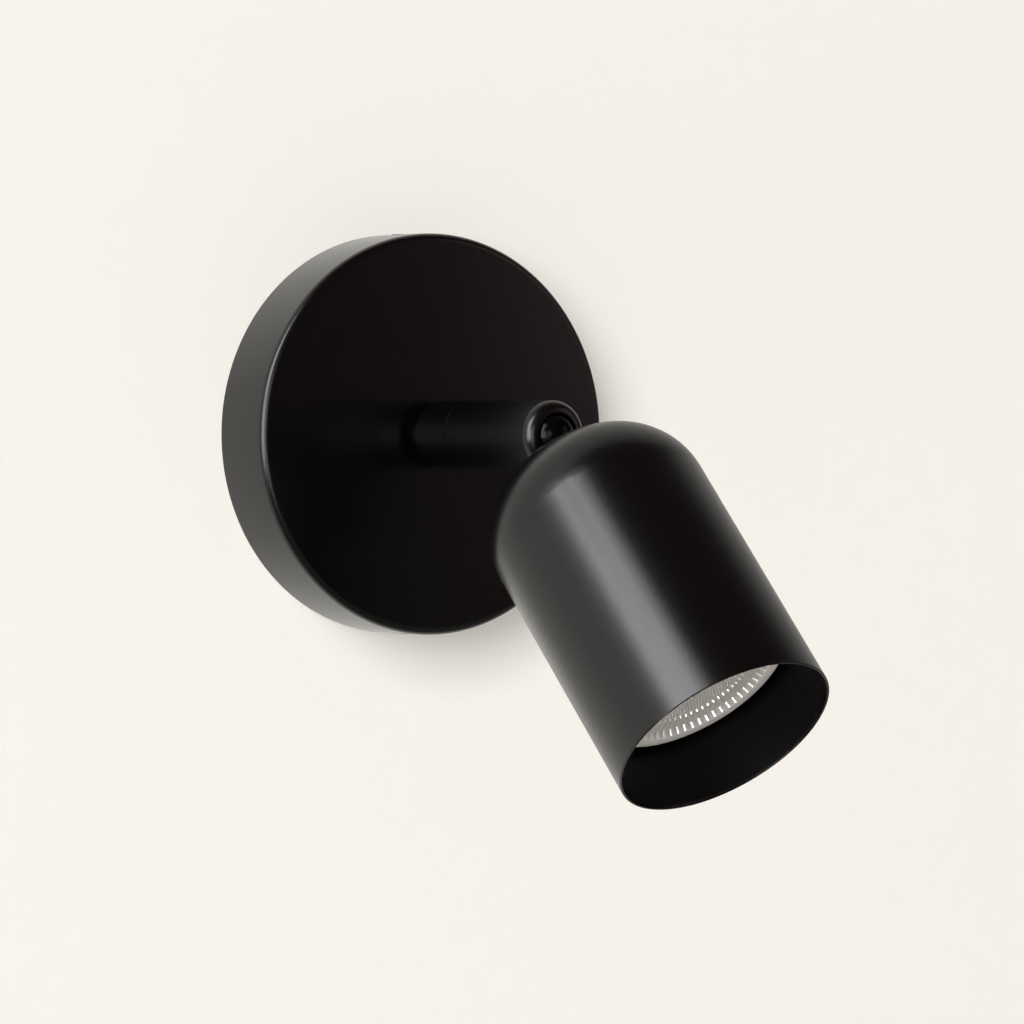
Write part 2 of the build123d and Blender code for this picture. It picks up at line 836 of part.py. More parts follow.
# One ridge of the lens, standing on its floor and running outwards.
with BuildPart() as lens_rib:
    with BuildSketch(Plane.YZ.offset(lens_rib_inner)):
        with BuildLine():
            Polyline(
                (-lens_rib_width / 2, -lens_rib_height / 2),
                (lens_rib_width / 2, -lens_rib_height / 2),
                (lens_rib_width / 2, 0),
                (0, lens_rib_height),
                (-lens_rib_width / 2, 0),
                close=True,
            )
        make_face()
    extrude(amount=lens_rib_outer - lens_rib_inner)

with BuildPart() as lamp_lens:
    with BuildSketch(head_section):
        with Locations((lamp_radius - lens_flange_width, lens_back)):
            Rectangle(lens_flange_width, lens_flange_height, align=(Align.MIN, Align.MIN))
        fillet(vertices().group_by(Axis.Y)[-1].sort_by(Axis.X)[-1], radius=lens_dish)
        with Locations((0, lens_floor)):
            Rectangle(lamp_radius - lens_flange_width, lens_thickness, align=(Align.MIN, Align.MAX))
    revolve(axis=head_axis)
    with Locations(head_frame.offset(lens_floor)):
        with PolarLocations(0, lens_ribs):
            add(lens_rib.part)
lamp_lens.part.label = "lamp_lens"

# ---------------------------------------------------------------- export
pieces = [
    canopy_cover, side_screws, wall_bracket, terminal_block, terminal_clamps, terminal_screws,
    block_screws, earth_washer, earth_screw, threaded_nipple, lock_washer, nipple_nut, neck_plug,
    base_collar, stop_pin, swivel_shaft, friction_ring, swivel_nut, arm_tube, ball_cup,
    disc_springs, spring_ring, shade, ball_stud, crown_washer, head_nut, holder_bracket, lampholder,
    holder_screws, holder_contacts, lamp_pins, lamp_base, lamp_housing, heat_sink, led_board,
    led_chips, lamp_lens,
]
os.makedirs("parts", exist_ok=True)
for piece in pieces:
    export_step(piece.part, f"parts/{piece.part.label}.step")
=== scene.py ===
# %% [markdown]
# # A pivoting wall spotlight in satin black
#
# The real light is a round steel plate, a short arm that swivels, and a bullet-shaped
# head that tilts on a ball in the arm's rounded end. A standard reflector lamp sits
# back inside the head. Its solids come packed from CAD, in metres, so this file only
# dresses them: it never moves a part. We load them first.

# %% Load the imported parts
import json
from math import cos, pi, radians, sin

import bmesh
import bpy
from mathutils import Euler, Matrix, Vector


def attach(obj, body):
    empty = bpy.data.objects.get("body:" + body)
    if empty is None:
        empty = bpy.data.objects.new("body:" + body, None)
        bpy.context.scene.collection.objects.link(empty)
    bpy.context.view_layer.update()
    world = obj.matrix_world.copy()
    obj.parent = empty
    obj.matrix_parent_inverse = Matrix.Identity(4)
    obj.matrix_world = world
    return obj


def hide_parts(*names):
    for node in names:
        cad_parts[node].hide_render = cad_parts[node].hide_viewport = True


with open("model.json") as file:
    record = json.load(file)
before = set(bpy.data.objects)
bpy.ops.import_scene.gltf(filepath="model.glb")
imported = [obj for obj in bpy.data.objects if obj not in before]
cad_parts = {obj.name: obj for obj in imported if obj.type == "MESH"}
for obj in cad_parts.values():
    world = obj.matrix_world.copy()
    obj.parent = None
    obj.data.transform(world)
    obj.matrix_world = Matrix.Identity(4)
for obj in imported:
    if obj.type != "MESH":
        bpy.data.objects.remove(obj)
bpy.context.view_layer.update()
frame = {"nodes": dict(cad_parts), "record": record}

# %% [markdown]
# ## The frames of the moving bodies
#
# The wall is the plane y = 0 and the light stands out towards -Y. The arm is turned
# 6 degrees about its own axis and the head hangs 49.3 degrees down from it. Turned parts
# need their own axis twice: to build the lamp's lens, and to centre lathe marks. So each
# body gets a matrix here. Its Z runs out of the wall, or towards the head's mouth.

# %% Body frames
MM = 0.001
SWIVEL, TILT = radians(6.0), radians(49.3)
PIVOT_REACH = 71.6 * MM

wall_frame = Matrix(((1, 0, 0, 0), (0, 0, -1, 0), (0, 1, 0, 0), (0, 0, 0, 1)))
arm_frame = wall_frame @ Matrix.Rotation(SWIVEL, 4, "Z") @ Matrix.Translation((0, 0, PIVOT_REACH))
head_frame = arm_frame @ Matrix.Rotation(TILT, 4, "X")
print("head axis:", [round(v, 4) for v in head_frame.col[2][:3]])

# %% [markdown]
# ## The camera comes first
#
# The photograph was taken from the left of the light, almost level with it, through a
# long lens. Its distance, angle and focal length were worked out from the edges of the
# plate, the head and the lamp, so they are plain numbers here. The camera looks along
# its own -Z, so its back is the direction from the light to the lens.

# %% Camera
FRAME_PIXELS = 1024
FOCAL_PIXELS = 6029.611
azimuth, elevation, roll = radians(-32.935), radians(1.667), radians(-1.046)
distance, aside, below = 1500 * MM, 18.959 * MM, -19.354 * MM
aim = Vector((0, -20 * MM, 0))

back = Vector((sin(azimuth) * cos(elevation), -cos(azimuth) * cos(elevation), sin(elevation)))
level = Vector((cos(azimuth), sin(azimuth), 0))
upright = back.cross(level)
right = level * cos(roll) + upright * sin(roll)
up = upright * cos(roll) - level * sin(roll)

camera_data = bpy.data.cameras.new("photo_camera")
camera_data.sensor_width = 36
camera_data.lens = 36 * FOCAL_PIXELS / FRAME_PIXELS
camera_data.clip_start, camera_data.clip_end = 0.01, 20
camera = bpy.data.objects.new("photo_camera", camera_data)
bpy.context.collection.objects.link(camera)
place = aim + back * distance + right * aside + up * below
camera.matrix_world = Matrix((
    (right.x, up.x, back.x, place.x),
    (right.y, up.y, back.y, place.y),
    (right.z, up.z, back.z, place.z),
    (0, 0, 0, 1),
))
bpy.context.scene.camera = camera
bpy.context.scene.view_settings.view_transform = "Standard"
print("lens", round(camera_data.lens, 2), "mm at", [round(v, 3) for v in place])

# %% [markdown]
# ## Shader sums written as Python
#
# A finish is a sum of small causes: grain, grease, lathe marks. Wiring each sum by hand
# hides the idea, so a `Wire` wraps one socket and adds a Math node for each operator.
# A `Finish` wraps one material, and its `add` makes any other node: first the node's
# settings, then what its sockets take.

# %% Wires and finishes
class Wire:
    """One socket of a node tree. Arithmetic on it adds Math nodes."""

    def __init__(self, tree, socket):
        self.tree, self.socket = tree, socket

    def sum_with(self, operation, *terms):
        node = self.tree.nodes.new("ShaderNodeMath")
        node.operation = operation
        for i, term in enumerate(terms):
            connect(self.tree, term, node.inputs[i])
        return Wire(self.tree, node.outputs[0])

    def __add__(self, other):
        return self.sum_with("ADD", self, other)

    def __sub__(self, other):
        return self.sum_with("SUBTRACT", self, other)

    def __rsub__(self, other):
        return self.sum_with("SUBTRACT", other, self)

    def __mul__(self, other):
        return self.sum_with("MULTIPLY", self, other)

    def __truediv__(self, other):
        return self.sum_with("DIVIDE", self, other)

    def __pow__(self, other):
        return self.sum_with("POWER", self, other)

    __radd__, __rmul__ = __add__, __mul__

    def at_least(self, floor):
        return self.sum_with("MAXIMUM", self, floor)

    def clipped(self):
        return self.sum_with("MINIMUM", self.at_least(0.0), 1.0)


def connect(tree, value, socket):
    """Link a wire to a socket, or set the socket's own value."""
    if isinstance(value, Wire):
        tree.links.new(value.socket, socket)
    else:
        socket.default_value = value


class Finish:
    """A material and the nodes that make it."""

    def __init__(self, name):
        self.material = bpy.data.materials.new(name)
        self.material.use_nodes = True
        self.tree = self.material.node_tree
        self.shader = self.tree.nodes["Principled BSDF"]

    def add(self, kind, settings=None, output=0, **sockets):
        """Any node: its settings first, then its sockets by name or by s0, s1 for their place."""
        node = self.tree.nodes.new("ShaderNode" + kind)
        for key, value in (settings or {}).items():
            setattr(node, key, value)
        for key, value in sockets.items():
            by_place = key[0] == "s" and key[1:].isdigit()
            socket = node.inputs[int(key[1:])] if by_place else node.inputs[key.replace("_", " ")]
            connect(self.tree, value, socket)
        return Wire(self.tree, node.outputs[output])

    def set(self, **sockets):
        for key, value in sockets.items():
            connect(self.tree, value, self.shader.inputs[key.replace("_", " ")])

    def show(self, shader):
        """Make this shader, and not the plain one, the material's surface."""
        self.tree.links.new(shader.socket, self.tree.nodes["Material Output"].inputs["Surface"])


print("shader helpers ready")

# %% [markdown]
# ## What every finish is built from
#
# Patterns read Object coordinates. Every part's object sits at the origin, so these are
# places in the light itself, and a pattern keeps its real size in millimetres. `local`
# turns them into a body's own frame. `grain` is noise of a given size, `tint` mixes two
# colours by a wire, and `relief` makes a height into a bumped normal.

# %% Pattern helpers
def local(finish, body_frame):
    """Object coordinates in a body's own frame."""
    coords = finish.add("TexCoord", output=3)
    inverse = body_frame.inverted()
    return finish.add(
        "Mapping",
        Vector=coords,
        Location=inverse.to_translation(),
        Rotation=inverse.to_euler("XYZ"),
    )


def grain(finish, where, size_mm, detail=2.0, rough=0.5):
    """Noise whose grains are about size_mm across, from 0 to 1."""
    return finish.add(
        "TexNoise", {"noise_dimensions": "3D"},
        Vector=where, Scale=1 / (size_mm * MM), Detail=detail, Roughness=rough,
    )


def tint(finish, amount, low, high):
    """A colour between low and high."""
    colours = {"s6": (*low, 1), "s7": (*high, 1)}
    return finish.add("Mix", {"data_type": "RGBA"}, output=2, s0=amount, **colours)


def relief(finish, height, depth_mm):
    """A normal bumped by a height from 0 to 1 that stands depth_mm deep."""
    return finish.add("Bump", Height=height, Distance=depth_mm * MM, Strength=1.0)


def lathe_marks(finish, body_frame, pitch_mm, faint=0.35):
    """Fine rings round a body's axis, on its ends and its sides alike."""
    place = local(finish, body_frame)
    x, y, z = (finish.add("SeparateXYZ", output=i, Vector=place) for i in range(3))
    radius = (x * x + y * y) ** 0.5
    turned = finish.add("CombineXYZ", X=radius / (pitch_mm * MM), Y=z / (pitch_mm * MM), Z=0.0)
    ring = finish.add("TexNoise", Vector=turned, Scale=1.0, Detail=3.0, Roughness=0.6)
    return ring * (1 - faint) + grain(finish, place, 3.0) * faint


print("pattern helpers ready")

# %% [markdown]
# ## Satin black powder coat
#
# Plate, arm and head are sprayed with powder that melts into one even film. Close up it
# has a faint orange peel, about a millimetre from crest to crest, and a finer grit that
# spreads the highlight. The gloss drifts a little where the film is thicker. All three
# are noise at their real sizes. The colour is a warm near-black.
#
# Powder drifts thin and dry into places that the gun can't face: the head's inner wall,
# and the joint line between collar and arm. There the coat mixes into a duller shader, by
# a wire that is 1 in such a place. The ball turns in its seat, which rubs it smooth, but
# the bare rubbed film mirrors little.

# %% Black coat
COAT_DARK, COAT_LIGHT = (0.0010, 0.0007, 0.0007), (0.0018, 0.0013, 0.0013)


def black_coat(
    name, low_rough, high_rough, depth_mm=0.012, specular=0.5, dry_place=None, dry_specular=0.18
):
    """The sprayed film. dry_place makes the wire for where it is thin and dull."""
    finish = Finish(name)
    place = finish.add("TexCoord", output=3)
    drift = grain(finish, place, 22.0, detail=3.0)
    peel = grain(finish, place, 1.1, detail=1.0)
    grit = grain(finish, place, 0.22, detail=2.0)
    colour = tint(finish, drift, COAT_DARK, COAT_LIGHT)
    skin = relief(finish, peel * 0.75 + grit * 0.25, depth_mm)
    finish.set(
        Base_Color=colour,
        Roughness=low_rough + (drift * 0.6 + grit * 0.4) * (high_rough - low_rough),
        Specular_IOR_Level=specular,
        Normal=skin,
    )
    if dry_place:
        dry = finish.add(
            "BsdfPrincipled",
            Base_Color=colour,
            Roughness=0.5 + grit * 0.1,
            Specular_IOR_Level=dry_specular,
            Normal=skin,
        )
        film = Wire(finish.tree, finish.shader.outputs[0])
        finish.show(finish.add("MixShader", s0=dry_place(finish), s1=film, s2=dry))
    return finish.material


# Millimetres: from the head's axis, along that axis from the ball, and out from the wall.
HEAD_WALL_MIDDLE = 27.2
DULL_FROM, DULL_TO = 50.0, 93.3
JOINT_LINE = 37.1


def inside_the_head(finish):
    """1 on the head's inner wall behind its rim. Each factor sets how soft one edge is."""
    place = local(finish, head_frame)
    x, y, z = (finish.add("SeparateXYZ", output=i, Vector=place) / MM for i in range(3))
    inner = ((HEAD_WALL_MIDDLE - (x * x + y * y) ** 0.5) * 10).clipped()
    behind_the_rim = ((z - DULL_FROM) * 0.2).clipped() * ((DULL_TO - z) * 2).clipped()
    return inner * behind_the_rim


def in_the_joint_line(finish):
    """1 within half a millimetre of the gap between collar and arm."""
    off = finish.add("SeparateXYZ", output=2, Vector=local(finish, wall_frame)) / MM - JOINT_LINE
    return (1.6 - off * off * 2).clipped()


SATIN = (0.22, 0.30)        # lowest and highest roughness of the sprayed film
RUBBED = (0.14, 0.20)
coat = black_coat("satin_black_coat", *SATIN)
head_coat = black_coat("satin_black_head", *SATIN, dry_place=inside_the_head)
arm_coat = black_coat("satin_black_arm", *SATIN, dry_place=in_the_joint_line, dry_specular=0.05)
rubbed_coat = black_coat("rubbed_black_ball", *RUBBED, depth_mm=0.005, specular=0.12)
print("made four black coats")

# %% [markdown]
# ## Bare metals
#
# Behind the plate sit zinc-plated pressings, nickelled turned parts, brass clamps and the
# lamp's aluminium. Zinc has a cloudy bloom with fine rolling lines. Turned parts show
# rings from the tool, so they use `lathe_marks` about their own body's axis.

# %% Metals
def plated_sheet(name, dark, light):
    finish = Finish(name)
    place = finish.add("TexCoord", output=3)
    bloom = grain(finish, place, 5.0, detail=5.0, rough=0.6)
    rolled = finish.add("Mapping", Vector=place, Scale=(60, 900, 900))
    lines = finish.add("TexNoise", Vector=rolled, Scale=4.0, Detail=3.0)
    finish.set(
        Base_Color=tint(finish, bloom, dark, light),
        Metallic=1.0,
        Roughness=0.26 + bloom * 0.16 + lines * 0.06,
        Normal=relief(finish, lines * 0.6 + bloom * 0.4, 0.01),
    )
    return finish.material


def turned_metal(name, body_frame, dark, light, base_rough=0.22):
    finish = Finish(name)
    rings = lathe_marks(finish, body_frame, 0.12)
    finish.set(
        Base_Color=tint(finish, rings, dark, light),
        Metallic=1.0,
        Roughness=base_rough + rings * 0.18,
        Normal=relief(finish, rings, 0.008),
    )
    return finish.material


zinc = plated_sheet("bright_zinc", (0.50, 0.50, 0.49), (0.70, 0.70, 0.68))
brass = plated_sheet("bare_brass", (0.52, 0.38, 0.16), (0.76, 0.58, 0.30))
NICKEL = (0.44, 0.43, 0.41), (0.60, 0.59, 0.57)
nickel_wall = turned_metal("nickel_on_wall_axis", wall_frame, *NICKEL)
nickel_arm = turned_metal("nickel_on_arm_axis", arm_frame, *NICKEL)
nickel_head = turned_metal("nickel_on_head_axis", head_frame, *NICKEL)
aluminium = turned_metal(
    "turned_aluminium", head_frame, (0.66, 0.67, 0.68), (0.80, 0.80, 0.81), base_rough=0.30
)
print("made metals")

# %% [markdown]
# ## Plastics, ceramic and phosphor
#
# Moulded plastic is one colour with slow clouds from the melt and a spark-eroded skin.
# The lampholder is fired steatite, with dark specks, from a function of its own. The
# lamp's chips are domes of yellow phosphor. One function with a few sizes makes the rest.

# %% Moulded and fired materials
def moulded(name, dark, light, skin_mm=0.3, rough=0.42, **sockets):
    finish = Finish(name)
    place = finish.add("TexCoord", output=3)
    cloud = grain(finish, place, 8.0, detail=2.0)
    skin = grain(finish, place, skin_mm, detail=2.0)
    finish.set(
        Base_Color=tint(finish, cloud, dark, light),
        Roughness=rough + skin * 0.12,
        Normal=relief(finish, skin, 0.01),
        **sockets,
    )
    return finish.material


def fired_ceramic():
    finish = Finish("white_steatite")
    place = finish.add("TexCoord", output=3)
    cells = finish.add("TexVoronoi", Vector=place, Scale=900.0)
    specks = (0.16 - cells).clipped() * 6
    body = grain(finish, place, 0.5, detail=4.0)
    finish.set(
        Base_Color=tint(finish, specks.clipped(), (0.80, 0.78, 0.73), (0.42, 0.38, 0.33)),
        Roughness=0.5 + body * 0.2,
        Normal=relief(finish, body, 0.02),
    )
    return finish.material


nylon = moulded("natural_nylon", (0.74, 0.72, 0.66), (0.84, 0.83, 0.79), Subsurface_Weight=0.1)
lamp_shell = moulded("lamp_shell_plastic", (0.72, 0.72, 0.70), (0.80, 0.80, 0.79), skin_mm=0.15)
phosphor = moulded(
    "yellow_phosphor", (0.78, 0.60, 0.14), (0.90, 0.74, 0.24), skin_mm=0.1, rough=0.6
)
steatite = fired_ceramic()
print("made plastics, steatite and phosphor")

# %% [markdown]
# ## Dress the CAD parts
#
# Each CAD part keeps its shape and gets the finish that its record slot names. Turned
# parts pick the version that is centred on their own body.

# %% Finish for each part
FINISH_OF_SLOT = {
    "black_coat": coat,
    "zinc_steel": zinc,
    "brass": brass,
    "natural_nylon": nylon,
    "white_ceramic": steatite,
    "lamp_plastic": lamp_shell,
    "aluminium": aluminium,
    "led_phosphor": phosphor,
}
TURNED = {"base": nickel_wall, "arm": nickel_arm, "head": nickel_head}


def dress(obj, material):
    obj.data.materials.clear()
    obj.data.materials.append(material)


body_of = {n: body for body, names in frame["record"]["behaviour"]["bodies"].items() for n in names}
slot_of = {s["node"]: s["material_slot"] for s in frame["record"]["subparts"]}
for node, obj in frame["nodes"].items():
    slot = slot_of[node]
    if slot == "turned_steel":
        dress(obj, TURNED[body_of[node]])
    elif slot in FINISH_OF_SLOT:
        dress(obj, FINISH_OF_SLOT[slot])
for node, material in (
    ("shade", head_coat),
    ("arm_tube", arm_coat),
    ("base_collar", arm_coat),
    ("ball_stud", rubbed_coat),
):
    dress(frame["nodes"][node], material)
print("dressed", len(frame["nodes"]), "parts")

# %% [markdown]
# ## The plate's cover, with its rolled front edge
#
# The cover is pressed from sheet, so its front edge is rolled to two millimetres. In the
# photograph that edge is a dark band with one bright line in it, where the steel turns
# past the window. The CAD cover has a tighter edge, so this one takes its place. It is a
# turned shape: one profile spun about the wall's axis, down the outside, over the front,
# through the middle hole and back up the inside. Two countersunk holes for the side
# screws are then cut out of its rim, as in the CAD.

# %% Spin and cut the cover
PLATE_RADIUS, PLATE_DEPTH, SHEET = 50.0, 20.0, 1.2      # millimetres
ROLLED_EDGE = 2.0
MIDDLE_HOLE = 5.35
SIDE_SCREW_DEPTH = 7.5
SCREW_HOLE, SINK_RADIUS, SINK_DEPTH = 2.15, 3.55, 1.4
CUT_BELOW, CUT_ABOVE = 3.0, 0.5


def corner(radius, height, reach, start, end, steps=10):
    """Points of a profile's rounded corner, from one angle in degrees to another."""
    angles = [radians(start + (end - start) * i / steps) for i in range(steps + 1)]
    return [(radius + reach * cos(a), height + reach * sin(a)) for a in angles]


def spun_mesh(name, profile, steps, body_frame, along=0.0):
    """A closed solid of revolution from a profile of (radius, height) in millimetres."""
    shape = bmesh.new()
    closed = profile[0] == profile[-1]
    rings = []
    for radius, height in profile[:-1] if closed else profile:
        if radius == 0:
            rings.append([shape.verts.new((0, 0, (along + height) * MM))])
            continue
        rings.append([
            shape.verts.new((
                radius * MM * cos(2 * pi * i / steps),
                radius * MM * sin(2 * pi * i / steps),
                (along + height) * MM,
            ))
            for i in range(steps)
        ])
    if closed:
        rings.append(rings[0])
    for inner, outer in zip(rings, rings[1:]):
        for i in range(steps):
            j = (i + 1) % steps
            around = (inner, i), (outer, i), (outer, j), (inner, j)
            corners = [ring[k % len(ring)] for ring, k in around]
            shape.faces.new(list(dict.fromkeys(corners)))    # a pole's corners are one vertex
    bmesh.ops.recalc_face_normals(shape, faces=shape.faces)
    mesh = bpy.data.meshes.new(name)
    shape.to_mesh(mesh)
    shape.free()
    smooth_but_for_corners(mesh)
    mesh.transform(body_frame)
    return mesh


def smooth_but_for_corners(mesh):
    mesh.shade_smooth()
    mesh.set_sharp_from_angle(angle=radians(35))


def shown(name, mesh):
    """A new object for a mesh."""
    obj = bpy.data.objects.new(name, mesh)
    bpy.context.collection.objects.link(obj)
    return obj


def as_plain_mesh(obj):
    """Keep what the modifiers make, and drop the modifiers."""
    bpy.context.view_layer.update()
    evaluated = obj.evaluated_get(bpy.context.evaluated_depsgraph_get())
    mesh = bpy.data.meshes.new_from_object(evaluated)
    obj.modifiers.clear()
    obj.data = mesh


cover_profile = [
    (PLATE_RADIUS, 0.0),
    *corner(PLATE_RADIUS - ROLLED_EDGE, PLATE_DEPTH - ROLLED_EDGE, ROLLED_EDGE, 0, 90),
    (MIDDLE_HOLE, PLATE_DEPTH),
    (MIDDLE_HOLE, PLATE_DEPTH - SHEET),
    *corner(PLATE_RADIUS - ROLLED_EDGE, PLATE_DEPTH - ROLLED_EDGE, ROLLED_EDGE - SHEET, 90, 0, 5),
    (PLATE_RADIUS - SHEET, 0.0),
    (PLATE_RADIUS, 0.0),
]
cover = shown("plate_cover", spun_mesh("plate_cover", cover_profile, 240, wall_frame))
screw_hole = [
    (0.0, -CUT_BELOW),
    (SCREW_HOLE, -CUT_BELOW),
    (SCREW_HOLE, -SINK_DEPTH),
    (SINK_RADIUS, 0.0),
    (SINK_RADIUS, CUT_ABOVE),
    (0.0, CUT_ABOVE),
]
cutters = []
for side, turn in ((1, 0), (-1, pi)):
    rim = Matrix.Translation((0, -SIDE_SCREW_DEPTH * MM, side * PLATE_RADIUS * MM))
    rim @= Matrix.Rotation(turn, 4, "X")
    cutter_mesh = spun_mesh("screw_hole_cutter", screw_hole, 48, rim)
    cutters.append(shown("screw_hole_cutter", cutter_mesh))
    cut = cover.modifiers.new("screw_hole", "BOOLEAN")
    cut.operation, cut.solver, cut.object = "DIFFERENCE", "EXACT", cutters[-1]
as_plain_mesh(cover)
smooth_but_for_corners(cover.data)
for cutter in cutters:
    bpy.data.objects.remove(cutter)
dress(cover, coat)
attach(cover, "base")
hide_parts("canopy_cover")
print("cover:", len(cover.data.polygons), "faces")

# %% [markdown]
# ## The lamp's lens: its plain blank
#
# The lens is the one lively surface in the photograph. It is moulded in milky grey
# plastic: a smooth flange round a lower, frosted field. A lens is a turned shape, so its
# blank is one profile spun about the head's axis. The profile runs along the front, over
# the flange and back behind, and it starts and ends on the axis, so the blank is closed.

# %% Spin the blank
LENS_FACE = 77.1            # millimetres along the head's axis from the ball
LENS_RADIUS = 25.0
FIELD_RADIUS = 21.0
FIELD_DROP = 1.2
FLANGE_HEIGHT = 4.0
FIELD_BACK = 2.8

lens_profile = [
    (0.0, -FIELD_DROP),
    (FIELD_RADIUS - 0.45, -FIELD_DROP),
    (FIELD_RADIUS - 0.30, -FIELD_DROP + 0.05),
    (FIELD_RADIUS + 0.70, -0.15),
    (FIELD_RADIUS + 0.95, -0.02),
    (FIELD_RADIUS + 1.30, 0.0),
    (LENS_RADIUS - 0.85, 0.0),
    (LENS_RADIUS - 0.40, -0.12),
    (LENS_RADIUS - 0.12, -0.38),
    (LENS_RADIUS, -0.75),
    (LENS_RADIUS, -FLANGE_HEIGHT),
    (LENS_RADIUS - 3.2, -FLANGE_HEIGHT),
    (LENS_RADIUS - 3.2, -FIELD_BACK),
    (0.0, -FIELD_BACK),
]
blank = shown("ribbed_lens", spun_mesh("ribbed_lens", lens_profile, 180, head_frame, LENS_FACE))
print("lens blank:", len(blank.data.polygons), "faces")

# %% [markdown]
# ## The lens's ribs and beads
#
# Seventy-two narrow ribs, one every five degrees, and a middle full of tiny domes spread
# the light. Both repeat by a rule, so Geometry Nodes place them. Each tree is built here,
# with its sizes as named inputs. A small `Graph` class wraps the node calls: it makes a
# node, sets it up, links its inputs and hands back the node.

# %% Geometry Nodes helpers
class Graph:
    """A Geometry Nodes tree with named inputs."""

    def __init__(self, name):
        self.tree = bpy.data.node_groups.new(name, "GeometryNodeTree")
        for way in ("INPUT", "OUTPUT"):
            self.tree.interface.new_socket(
                "Geometry", in_out=way, socket_type="NodeSocketGeometry"
            )
        self.entry = self.tree.nodes.new("NodeGroupInput")
        self.exit = self.tree.nodes.new("NodeGroupOutput")
        self.identifiers = {}

    def knob(self, name, kind, value):
        """A named input of the tree."""
        item = self.tree.interface.new_socket(name, in_out="INPUT", socket_type="NodeSocket" + kind)
        item.default_value = value
        self.identifiers[name] = item.identifier
        return self.entry.outputs[name]

    def node(self, kind, settings=None, sockets=None):
        """A node with its settings, then its inputs by name or place."""
        made = self.tree.nodes.new(kind)
        for key, value in (settings or {}).items():
            setattr(made, key, value)
        for key, value in (sockets or {}).items():
            for one in value if isinstance(value, list) else [value]:
                if isinstance(one, bpy.types.NodeSocket):
                    self.tree.links.new(one, made.inputs[key])
                else:
                    made.inputs[key].default_value = one
        return made

    def math(self, operation, a, b):
        return self.node("ShaderNodeMath", {"operation": operation}, {0: a, 1: b}).outputs[0]

    def close(self, geometry, material):
        """End in Realize Instances and Set Material."""
        real = self.node("GeometryNodeRealizeInstances", None, {"Geometry": geometry}).outputs[0]
        dressed = self.node(
            "GeometryNodeSetMaterial", None, {"Geometry": real, "Material": material}
        )
        self.tree.links.new(dressed.outputs[0], self.exit.inputs["Geometry"])


def grow(obj, graph, values):
    """Run a tree on an object and keep the result as its plain mesh."""
    modifier = obj.modifiers.new(graph.tree.name, "NODES")
    modifier.node_group = graph.tree
    for name, value in values.items():
        modifier[graph.identifiers[name]] = value
    as_plain_mesh(obj)


print("geometry helpers ready")

# %% [markdown]
# ### Ribs in rings, domes in a field
#
# A rib is a flattened rod: a low cylinder laid along the radius, wide and shallow, sunk in
# the lens so that only its crown shows. Rods that lie flat make the fine spokes. Rods that
# lean forty-five degrees line the slope at the field's rim, and there each crown throws
# back one bright stroke. A rod's caps are split off, so that its round side shades evenly.
# A dome is a small flattened ball. Both have few faces, because they are repeated hundreds
# of times.
#
# A mesh circle gives the places of a ring, and each place turns its rib outwards. A mesh
# grid gives the field: every other row moves half a step, and what falls outside a circle
# is deleted. Both work in the head's frame, and a last Transform carries them to the lamp.

# %% Rib and dome trees
def vector_of(graph, x, y, z):
    return graph.node("ShaderNodeCombineXYZ", None, {"X": x, "Y": y, "Z": z}).outputs[0]


def moved(graph, geometry, **change):
    """Geometry through one Transform node."""
    return graph.node("GeometryNodeTransform", None, {"Geometry": geometry, **change}).outputs[0]


def one_rod(graph, size, lean):
    """A rod of the given length, width and height along X, its outer end leaning up."""
    bar = graph.node(
        "GeometryNodeMeshCylinder", None, {"Vertices": 20, "Radius": 0.5, "Depth": 1.0}
    )
    bend = graph.node("GeometryNodeInputMeshEdgeAngle").outputs["Unsigned Angle"]
    cap_edge = graph.math("GREATER_THAN", bend, 1.0)         # radians: only a cap bends so much
    apart = graph.node(
        "GeometryNodeSplitEdges", None, {0: bar.outputs["Mesh"], 1: cap_edge}
    ).outputs[0]
    round_side = graph.node(
        "GeometryNodeSetShadeSmooth", None, {0: apart, 1: bar.outputs["Side"]}
    ).outputs[0]
    laid = moved(graph, round_side, Rotation=Euler((0, pi / 2, 0)))
    sized = moved(graph, laid, Scale=size)
    turn = vector_of(graph, 0.0, graph.math("MULTIPLY", lean, -1.0), 0.0)
    return moved(graph, sized, Rotation=turn)


def one_dome(graph):
    """A ball of unit size, shaded smooth."""
    ball = graph.node(
        "GeometryNodeMeshUVSphere", None, {"Segments": 10, "Rings": 6, "Radius": 0.5}
    )
    return graph.node("GeometryNodeSetShadeSmooth", None, {0: ball.outputs["Mesh"]}).outputs[0]


def at_the_lamp(graph, geometry, face):
    """Lift a flat pattern to the lens's face, then carry it into the head's frame."""
    lifted = moved(graph, geometry, Translation=vector_of(graph, 0.0, 0.0, face))
    turned = moved(
        graph, lifted,
        Translation=head_frame.to_translation(),
        Rotation=Euler(head_frame.to_euler("XYZ")),
    )
    return graph.node(
        "GeometryNodeJoinGeometry", None, {"Geometry": [graph.entry.outputs[0], turned]}
    ).outputs[0]


